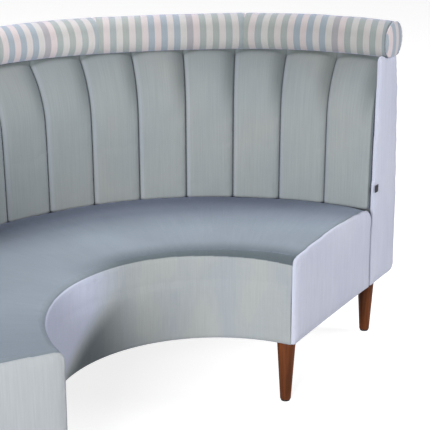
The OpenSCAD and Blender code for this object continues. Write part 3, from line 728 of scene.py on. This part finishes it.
for vert in back_form.verts:
    radius, angle = polar(vert.co)
    end = half_angle - math.asin(end_cut / radius)
    place = (angle / end + 1) / 2 * channel_count
    channel = min(channel_count - 1, max(0, int(place + 1e-6)))
    share = 0.5 - 0.5 * math.cos(math.pi * min(1.0, max(0.0, place - channel)))
    angle = (2 * (channel + share) / channel_count - 1) * end
    angle += channel_skew * math.sin(math.pi * angle / end)
    vert.co = ring_point(radius, angle, vert.co.z)
    vert[back_held] = 1.0
    if vert[back_out] > 0.5:
        edge = abs(2 * share - 1)
        along = vert[back_along]
        roll = smooth_step(0.35, 0.90, along)
        flat = (1 - edge ** 9) ** 0.5
        full = (1 - edge ** 2.1) ** 0.5
        swell = flat + (full - flat) * roll
        lean = math.atan2(vert.co.z - turn_z, turn_r - radius) if vert.co.z > turn_z else 0.0
        cut = groove_cut + 0.004 * roll
        swell += (1 - swell) * smooth_step(tucked, tucked + tuck_fade, along)
        push = (channel_proud + top_fill * roll + cut) * swell - cut
        wave = soft_wave((angle * 3.0, channel, along * 2.2), 1.0)
        push += channel_wave * wave * (1 - edge ** 4)
        vert.co = ring_point(radius - push * math.cos(lean), angle,
                             vert.co.z + push * math.sin(lean))
        # Painted shade, painted highlight and painted shadow of each channel, as set out above.
        flank = (flank_painted_shade * smooth_step(0.62, 0.95, share) * smooth_step(0.50, 0.80, along)
                 * field_share(flank_field, angle))
        vert[back_painted_highlight] = rim_painted_highlight * bell(share - 0.045, 0.028)
        left = left_painted_shade * field_share(left_back_field, angle)
        groove = groove_painted_shadow * smooth_step(0.972, 0.994, edge)
        under = under_bolster_painted_shadow * smooth_step(tucked - tuck_fade, tucked, along)
        vert[back_turned] = max(flank, left, groove, under)
        firm = max(smooth_step(0.90, 1.0, edge), smooth_step(0.03, 0.0, along),
                   smooth_step(0.93, 1.0, along))
        vert[back_held] = 0.15 + 0.85 * firm
bmesh.ops.recalc_face_normals(back_form, faces=back_form.faces[:])
back_velvet = velvet_finish("velvet_back", *back_tones, (330, 8, 8))
fluted_back = make_piece("fluted_back", back_form, back_velvet)
back_firm = [item.value for item in fluted_back.data.attributes["held"].data]
settle(fluted_back, lambda vert: back_firm[vert.index], back_pressure, back_reach)
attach(fluted_back, "root")
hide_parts("back_channels", "back_foam")

# Outer back: a velvet cover with thin wadding, in three panels drawn over the bent skin. Its top
# flap lies on the top rail under the bolster, and its lower edge is turned under the frame.
outer_r = 1.105
upright_z = 0.430
shoulder = (1.083, 0.801)
ledge = (1.063, 0.902)
foot_round = 0.024
outer_t = 0.006
outer_points = 90
outer_steps = 180
outer_gather = 0.5
outer_seam_dip = 0.0016
outer_seam_w = 0.0022
outer_wave = 0.0012
outer_wave_size = 0.22
foot = (outer_r - foot_round, under_z + foot_round)
outer_seam_turn = half_angle / 3
outer_outside = even(
    [(foot[0] - turn_under, under_z)] + arc(foot, foot_round, -90, 0, 8)
    + straight((outer_r, upright_z - 0.02), (outer_r, upright_z), 2)
    + straight((outer_r, upright_z), shoulder, 4) + straight(shoulder, ledge, 4)
    + [ledge, (top_rail_r, ledge[1])], outer_points)
outer_inside = even(
    [(foot[0] - turn_under, rail_z), (foot[0], rail_z)]
    + arc(foot, foot_round - outer_t, -90, 0, 8)
    + [(outer_r - outer_t, upright_z), (shoulder[0] - outer_t, shoulder[1]),
       (ledge[0] - outer_t + 0.0006, ledge[1] - 0.003), (top_rail_r, ledge[1] - 0.003)],
    outer_points)
outer_form, outer_out, _ = swept_ring(outer_outside, outer_inside, outer_steps, end_cut,
                                      gather=outer_gather)


def cut_beside(form, turn, distances):
    """Cut a form along planes beside the plane through the axis at one turn."""
    across = Vector((math.cos(turn), -math.sin(turn), 0))
    centre = Vector((0, ring_y, 0))
    for distance in distances:
        near = [face for face in form.faces
                if abs((face.verts[0].co - centre).dot(across)) < 0.04]
        edges = {edge for face in near for edge in face.edges}
        verts = {vert for face in near for vert in face.verts}
        bmesh.ops.bisect_plane(form, geom=list(verts) + list(edges) + near,
                               plane_co=centre + across * distance, plane_no=across)


seam_cuts = (-0.009, -0.0042, -0.0016, 0.0, 0.0016, 0.0042, 0.009)
for seam_turn in (-outer_seam_turn, outer_seam_turn):
    cut_beside(outer_form, seam_turn, seam_cuts)
for vert in outer_form.verts:
    radius, angle = polar(vert.co)
    if vert[outer_out] > 0.5 and vert.co.z > under_z + 0.001:
        dip = outer_seam_dip * bell(radius * (abs(angle) - outer_seam_turn), outer_seam_w)
        dip += end_seam_dip * bell(from_end(vert.co) - end_cut, end_seam_w)
        wave = outer_wave * soft_wave(vert.co, outer_wave_size)
        wave *= smooth_step(ledge[1], ledge[1] - 0.03, vert.co.z)
        vert.co = ring_point(radius - dip + wave, angle, vert.co.z)
outer_back = make_piece("outer_back", outer_form, back_velvet)
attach(outer_back, "root")
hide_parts("outer_back_cover")

# Padded panels on the two ends of the back, sewn to its covers. They stand a little proud of
# the channels, lean back with them and rise beside the bolster.
panel_front_r = 0.930
panel_points = 120
panel_corner = (0.962, 0.900)
bolster_r = 0.057
bolster_mid = (1.035, 0.948)
ledge_front = bolster_mid[0] - math.sqrt(bolster_r ** 2 - (bolster_mid[1] - ledge[1]) ** 2)
back_panel_line = even(
    straight((panel_front_r, under_z), (panel_front_r, seat_edge), 4)
    + arc(panel_corner, 0.014, 180, 90, 6)
    + [(0.976, 0.9137), (ledge_front - 0.006, 0.9017), (ledge[0], 0.9017), shoulder]
    + [(outer_r, upright_z)] + arc(foot, foot_round, 0, -90, 6)
    + straight((foot[0], under_z), (panel_front_r, under_z), 3)[1:], panel_points)[:-1]
for side, side_name in ends:
    back_pad = end_pad("back_end_pad_" + side_name, back_panel_line, side)
    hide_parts("back_end_panel_" + side_name)

# Dust cover of the back: black cambric in three sectors, nested on one length of cloth and
# stapled over the underside.
back_dust_front = 0.963
back_dust_back = foot[0]
back_dust = stretched_sheet("back_dust_sheet",
                            *flat_lines(back_dust_front, back_dust_back, dust_z, dust_t),
                            panel_t + dust_margin, cambric)
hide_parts("back_dust_cover")

# Tag: a blank piece of black tape, folded and sewn into the front seam of the right end pad of
# the back. It lies on the pad.
tag_size = 0.022
tag_t = 0.001
tag_seam_r = 0.9323
tag_off = 0.0030
tag_curl = 0.0022
tape_dark = (0.004, 0.006, 0.009)
tape_pale = (0.012, 0.015, 0.021)
tape = grained_finish("black_tape", tape_dark, tape_pale, grain=(1500, 1500, 2600),
                      roughness=0.7, relief=0.0002, detail=2.0)
tag_low, tag_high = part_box("side_tag")
tag_form = bmesh.new()
bmesh.ops.create_grid(tag_form, x_segments=8, y_segments=8, size=tag_size / 2)
for vert in tag_form.verts:
    share = vert.co.x / tag_size + 0.5
    radius = tag_seam_r + vert.co.x + tag_size / 2
    height = (tag_low[2] + tag_high[2]) / 2 + vert.co.y
    out = tag_off + tag_curl * math.sin(math.pi * (0.15 + 0.7 * share)) + 0.0003 * share
    vert.co = (radius * math.sin(half_angle) + out * math.cos(half_angle),
               ring_y + radius * math.cos(half_angle) - out * math.sin(half_angle), height)
bmesh.ops.recalc_face_normals(tag_form, faces=tag_form.faces[:])
bmesh.ops.solidify(tag_form, geom=tag_form.verts[:] + tag_form.edges[:] + tag_form.faces[:],
                   thickness=tag_t)
bmesh.ops.recalc_face_normals(tag_form, faces=tag_form.faces[:])
tag = make_piece("side_tag_tape", tag_form, tape)
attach(tag, "root")
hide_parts("side_tag")

# Bolster: foam round a board, in a cover sewn from six panels of striped cloth. It lies on the
# ledge, is bolted down through the top rail, and sags a little between its middle and its ends.
panel_count = 6
stripe_pitch = 0.0387
sag_turn = math.radians(37)
sag_width = math.radians(17)
sag_depth = 0.0085
panel_seam_w = 0.0035
panel_seam_dip = 0.0022
cap_seam_dip = 0.0022
roll_points = 81
roll_steps = 204
roll_gather = 0.5
roll_cut = 0.004
roll_wave = 0.0012
roll_wave_size = 0.10
# Painted shade darkens the roll's right part, fading in between the two turns of roll_field.
roll_painted_shade_strength = 0.36
roll_field = (15, 65)
cream_tones = ((0.575, 0.508, 0.512), (0.538, 0.524, 0.516))
grey_tones = ((0.322, 0.368, 0.412), (0.348, 0.378, 0.362))
mauve_tints = ((1.0, 1.0, 1.0), (1.05, 0.93, 1.03))
stripe_sheen = (0.62, 0.66, 1.0, 1.0)


def bolster_finish():
    """Woven cloth whose stripes follow its UV map, cream and grey in turn. A few greys lean to
    mauve."""
    finish, nodes, links = new_finish("striped_cloth")
    shader = nodes["Principled BSDF"]
    cloth = add_node(nodes, "ShaderNodeUVMap", uv_map="cloth").outputs["UV"]
    parts = add_node(nodes, "ShaderNodeSeparateXYZ")
    links.new(cloth, parts.inputs[0])
    pitch = add_node(nodes, "ShaderNodeMath", operation="DIVIDE")
    pitch.inputs[1].default_value = stripe_pitch / 2
    links.new(parts.outputs["X"], pitch.inputs[0])
    shift = add_node(nodes, "ShaderNodeMath", operation="ADD")
    shift.inputs[1].default_value = 0.5
    links.new(pitch.outputs["Value"], shift.inputs[0])
    number = add_node(nodes, "ShaderNodeMath", operation="FLOOR")
    links.new(shift.outputs["Value"], number.inputs[0])
    odd = add_node(nodes, "ShaderNodeMath", operation="FLOORED_MODULO")
    odd.inputs[1].default_value = 2.0
    links.new(number.outputs["Value"], odd.inputs[0])
    tint = add_node(nodes, "ShaderNodeTexWhiteNoise", noise_dimensions="1D")
    links.new(number.outputs["Value"], tint.inputs["W"])
    creams = two_tones(nodes, links, tint.outputs["Value"], *cream_tones, 0.1, 0.9)
    greys = two_tones(nodes, links, tint.outputs["Value"], *grey_tones, 0.2, 0.6)
    mauves = two_tones(nodes, links, tint.outputs["Value"], *mauve_tints, 0.7, 0.8)
    greys = mixed(nodes, links, 1.0, greys, mauves, "MULTIPLY")
    stripes = mixed(nodes, links, odd.outputs["Value"], creams, greys)
    # Painted shade from the mesh, on the roll's right part.
    stripes = painted_light_and_shade(nodes, links, stripes)
    yarns = stretched_noise(nodes, links, cloth, (1100, 40, 1), 3.0)
    shades = two_tones(nodes, links, yarns, (0.93, 0.93, 0.93), (1.05, 1.05, 1.05), 0.3, 0.7)
    links.new(mixed(nodes, links, 1.0, stripes, shades, "MULTIPLY"), shader.inputs["Base Color"])
    weave = stretched_noise(nodes, links, cloth, (1500, 1500, 1), 2.0)
    links.new(raised(nodes, links, weave, 0.0003), shader.inputs["Normal"])
    shader.inputs["Roughness"].default_value = 0.85
    shader.inputs["Specular IOR Level"].default_value = 0.25
    shader.inputs["Sheen Weight"].default_value = 0.5
    shader.inputs["Sheen Roughness"].default_value = 0.4
    shader.inputs["Sheen Tint"].default_value = stripe_sheen
    return finish


def rest_z(radius):
    """Height of what the bolster lies on: the channels' tops, and behind them the ledge."""
    reach = turn_over_r + channel_proud + top_fill + 0.001
    if radius > top_rail_r:
        return ledge[1]
    return min(ledge[1], turn_z + math.sqrt(reach ** 2 - (turn_r - radius) ** 2))


striped = bolster_finish()
flat_turn = math.degrees(math.asin((bolster_mid[1] - ledge[1]) / bolster_r))
roll_line = arc(bolster_mid, bolster_r, -flat_turn, 180 + flat_turn, 60)
roll_outer = even(roll_line + roll_line[:1], roll_points)[:-1]
pocket = [(1.0603, 0.9065), (1.0603, 0.9205), (1.0097, 0.9205), (1.0097, 0.9065),
          (1.0603, 0.9065)]
roll_inner = even(pocket, roll_points)[:-1]
roll_form, roll_out, _ = swept_ring(roll_outer, roll_inner, roll_steps, roll_cut, closed=True,
                                    gather=roll_gather)
panel_angle = 2 * half_angle / panel_count
for number in range(1, panel_count):
    cut_beside(roll_form, number * panel_angle - half_angle, seam_cuts)
roll_turned = roll_form.verts.layers.float.new("turned")
for vert in roll_form.verts:
    if vert[roll_out] < 0.5:
        continue
    radius, angle = polar(vert.co)
    # Painted shade on the roll's right part.
    vert[roll_turned] = roll_painted_shade_strength * field_share(roll_field, angle)
    seam = (angle + half_angle) / panel_angle
    near = abs(seam - round(seam)) * panel_angle * radius
    lies_flat = vert.co.z < ledge[1] + 0.001
    dip = cap_seam_dip * bell(from_end(vert.co) - roll_cut, roll_cut)
    if 0.5 < seam < panel_count - 0.5:
        dip += panel_seam_dip * bell(near, panel_seam_w)
    full = roll_wave * soft_wave(vert.co, roll_wave_size)
    around = Vector((radius - bolster_mid[0], vert.co.z - bolster_mid[1]))
    if not lies_flat:
        around *= 1 - (dip - full) / bolster_r
    sag = sag_depth * bell(abs(angle) - sag_turn, sag_width)
    radius = bolster_mid[0] + around.x
    height = bolster_mid[1] + around.y - sag
    vert.co = ring_point(radius, angle, max(height, rest_z(radius)))
cloth_layer = roll_form.loops.layers.uv.new("cloth")
for face in roll_form.faces:
    _, angle = polar(face.calc_center_median())
    number = min(panel_count - 1, max(0, int((angle + half_angle) / panel_angle)))
    middle = (number + 0.5) * panel_angle - half_angle
    for loop in face.loops:
        radius, angle = polar(loop.vert.co)
        round_it = math.atan2(loop.vert.co.z - bolster_mid[1], radius - bolster_mid[0])
        loop[cloth_layer].uv = (radius * math.sin(angle - middle), round_it * bolster_r)
bolster_roll = make_piece("bolster_roll", roll_form, striped)
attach(bolster_roll, "root")
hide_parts("bolster_cover", "bolster_foam")

# Domed ends of the bolster, of the same cloth, sewn in round their edges over a little foam.
dome_rise = 0.013
dome_steps = 14
cap_points = 96
cap_folds = 24
cap_fold_rise = 0.0005
rim_rings = ((0.945, -0.0035), (0.970, -0.0018), (0.990, 0.0002), (0.998, 0.0022))
for side, side_name in ends:
    cap_form = bmesh.new()
    out = Vector((side * math.cos(half_angle), -math.sin(half_angle), 0))
    middle = ring_point(bolster_mid[0], side * half_angle, bolster_mid[1])
    across = Vector((side * math.sin(half_angle), math.cos(half_angle), 0))
    bmesh.ops.create_circle(cap_form, cap_ends=True, cap_tris=False, segments=cap_points,
                            radius=bolster_r * rim_rings[0][0])
    cap_layer = cap_form.loops.layers.uv.new("cloth")
    base = top = cap_form.faces[:][0]
    turns = [math.pi / 2 * step / dome_steps for step in range(3, dome_steps)]
    domes = [(math.cos(turn), dome_rise * math.sin(turn)) for turn in turns]
    for share, rise in rim_rings + tuple(domes):
        grown = bmesh.ops.extrude_face_region(cap_form, geom=[top])
        if top.is_valid and top is not base:
            cap_form.faces.remove(top)
        top = [item for item in grown["geom"] if isinstance(item, bmesh.types.BMFace)][0]
        for vert in top.verts:
            flat_place = Vector((vert.co.x, vert.co.y)).normalized() * bolster_r * share
            vert.co = (flat_place.x, flat_place.y, rise)
    for vert in cap_form.verts:
        x, y, z = vert.co
        y = max(y, ledge[1] - bolster_mid[1])
        fold = math.sin(cap_folds * math.atan2(y, x))
        pucker = cap_fold_rise * fold * bell(math.hypot(x, y) - 0.052, 0.006)
        vert.co = middle + across * x + Vector((0, 0, y)) + out * (z + pucker)
    for face in cap_form.faces:
        for loop in face.loops:
            away = loop.vert.co - middle
            loop[cap_layer].uv = (away.dot(across), away.z)
    bmesh.ops.recalc_face_normals(cap_form, faces=cap_form.faces[:])
    cap = make_piece("bolster_cap_" + side_name, cap_form, striped)
    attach(cap, "root")
    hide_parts("bolster_end_" + side_name)

# Studio: a plain pale floor that keeps the bench's shadow, an even white world, three soft
# lamps, and the camera at the photograph's angle. The key lamp stands on the left, a weaker
# side lamp on the right, and a small top lamp above and behind the bench.
floor_half = 9
floor_grey = (0.40, 0.40, 0.40, 1)
floor_shown = (0.82, 0.82, 0.82, 1)
world_light = 0.12
lamp_aim = (0.0, 0.0, 0.45)
camera_place = (-2.5076, -2.9840, 1.9425)
camera_tilt = 0.3401
camera_turn = 0.8092
camera_lens = 126.06
camera_width = 36
floor_form = bmesh.new()
bmesh.ops.create_grid(floor_form, x_segments=1, y_segments=1, size=floor_half)
floor_finish, floor_nodes, floor_links = new_finish("floor_white")
floor_shader = floor_nodes["Principled BSDF"]
floor_shader.inputs["Base Color"].default_value = floor_grey
floor_shader.inputs["Roughness"].default_value = 1.0
floor_path = add_node(floor_nodes, "ShaderNodeLightPath")
floor_glow = add_node(floor_nodes, "ShaderNodeEmission")
floor_links.new(floor_path.outputs["Is Camera Ray"], floor_glow.inputs["Strength"])
floor_glow.inputs["Color"].default_value = floor_shown
floor_sum = add_node(floor_nodes, "ShaderNodeAddShader")
floor_links.new(floor_shader.outputs["BSDF"], floor_sum.inputs[0])
floor_links.new(floor_glow.outputs["Emission"], floor_sum.inputs[1])
floor_side = add_node(floor_nodes, "ShaderNodeNewGeometry")
floor_clear = add_node(floor_nodes, "ShaderNodeBsdfTransparent")
floor_mix = add_node(floor_nodes, "ShaderNodeMixShader")
floor_links.new(floor_side.outputs["Backfacing"], floor_mix.inputs["Fac"])
floor_links.new(floor_sum.outputs["Shader"], floor_mix.inputs[1])
floor_links.new(floor_clear.outputs["BSDF"], floor_mix.inputs[2])
floor_links.new(floor_mix.outputs["Shader"], floor_nodes["Material Output"].inputs["Surface"])
floor = make_piece("floor", floor_form, floor_finish)

world = bpy.data.worlds.new("studio")
world.use_nodes = True
bpy.context.scene.world = world
sky = world.node_tree.nodes
sky_links = world.node_tree.links
sky["Background"].inputs["Strength"].default_value = world_light
sky_white = add_node(sky, "ShaderNodeBackground")
sky_white.inputs["Color"].default_value = (1, 1, 1, 1)
sky["Background"].inputs["Color"].default_value = (1, 1, 1, 1)
sky_path = add_node(sky, "ShaderNodeLightPath")
sky_seen = add_node(sky, "ShaderNodeMath", operation="MAXIMUM")
sky_links.new(sky_path.outputs["Is Camera Ray"], sky_seen.inputs[0])
sky_links.new(sky_path.outputs["Is Glossy Ray"], sky_seen.inputs[1])
sky_all = add_node(sky, "ShaderNodeMath", operation="MAXIMUM")
sky_links.new(sky_seen.outputs["Value"], sky_all.inputs[0])
sky_links.new(sky_path.outputs["Is Transmission Ray"], sky_all.inputs[1])
sky_mix = add_node(sky, "ShaderNodeMixShader")
sky_links.new(sky_all.outputs["Value"], sky_mix.inputs["Fac"])
sky_links.new(sky["Background"].outputs["Background"], sky_mix.inputs[1])
sky_links.new(sky_white.outputs["Background"], sky_mix.inputs[2])
sky_links.new(sky_mix.outputs["Shader"], sky["World Output"].inputs["Surface"])


def soft_lamp(name, place, size, power):
    lamp = bpy.data.lights.new(name, "AREA")
    lamp.size = size
    lamp.energy = power
    holder = bpy.data.objects.new(name, lamp)
    holder.location = place
    line = Vector(lamp_aim) - Vector(place)
    holder.rotation_euler = line.to_track_quat("-Z", "Y").to_euler()
    bpy.context.scene.collection.objects.link(holder)


soft_lamp("key_lamp", place=(-4.2, -2.4, 1.9), size=1.8, power=305)
soft_lamp("side_lamp", place=(3.4, -3.2, 1.9), size=1.8, power=110)
soft_lamp("top_lamp", place=(1.4, 1.6, 3.6), size=0.8, power=115)

camera = bpy.data.objects.new("camera", bpy.data.cameras.new("camera"))
camera.location = camera_place
camera.rotation_euler = (math.pi / 2 - camera_tilt, 0, -camera_turn)
camera.data.lens = camera_lens
camera.data.sensor_width = camera_width
bpy.context.scene.collection.objects.link(camera)
bpy.context.scene.camera = camera
bpy.context.scene.view_settings.view_transform = "Standard"
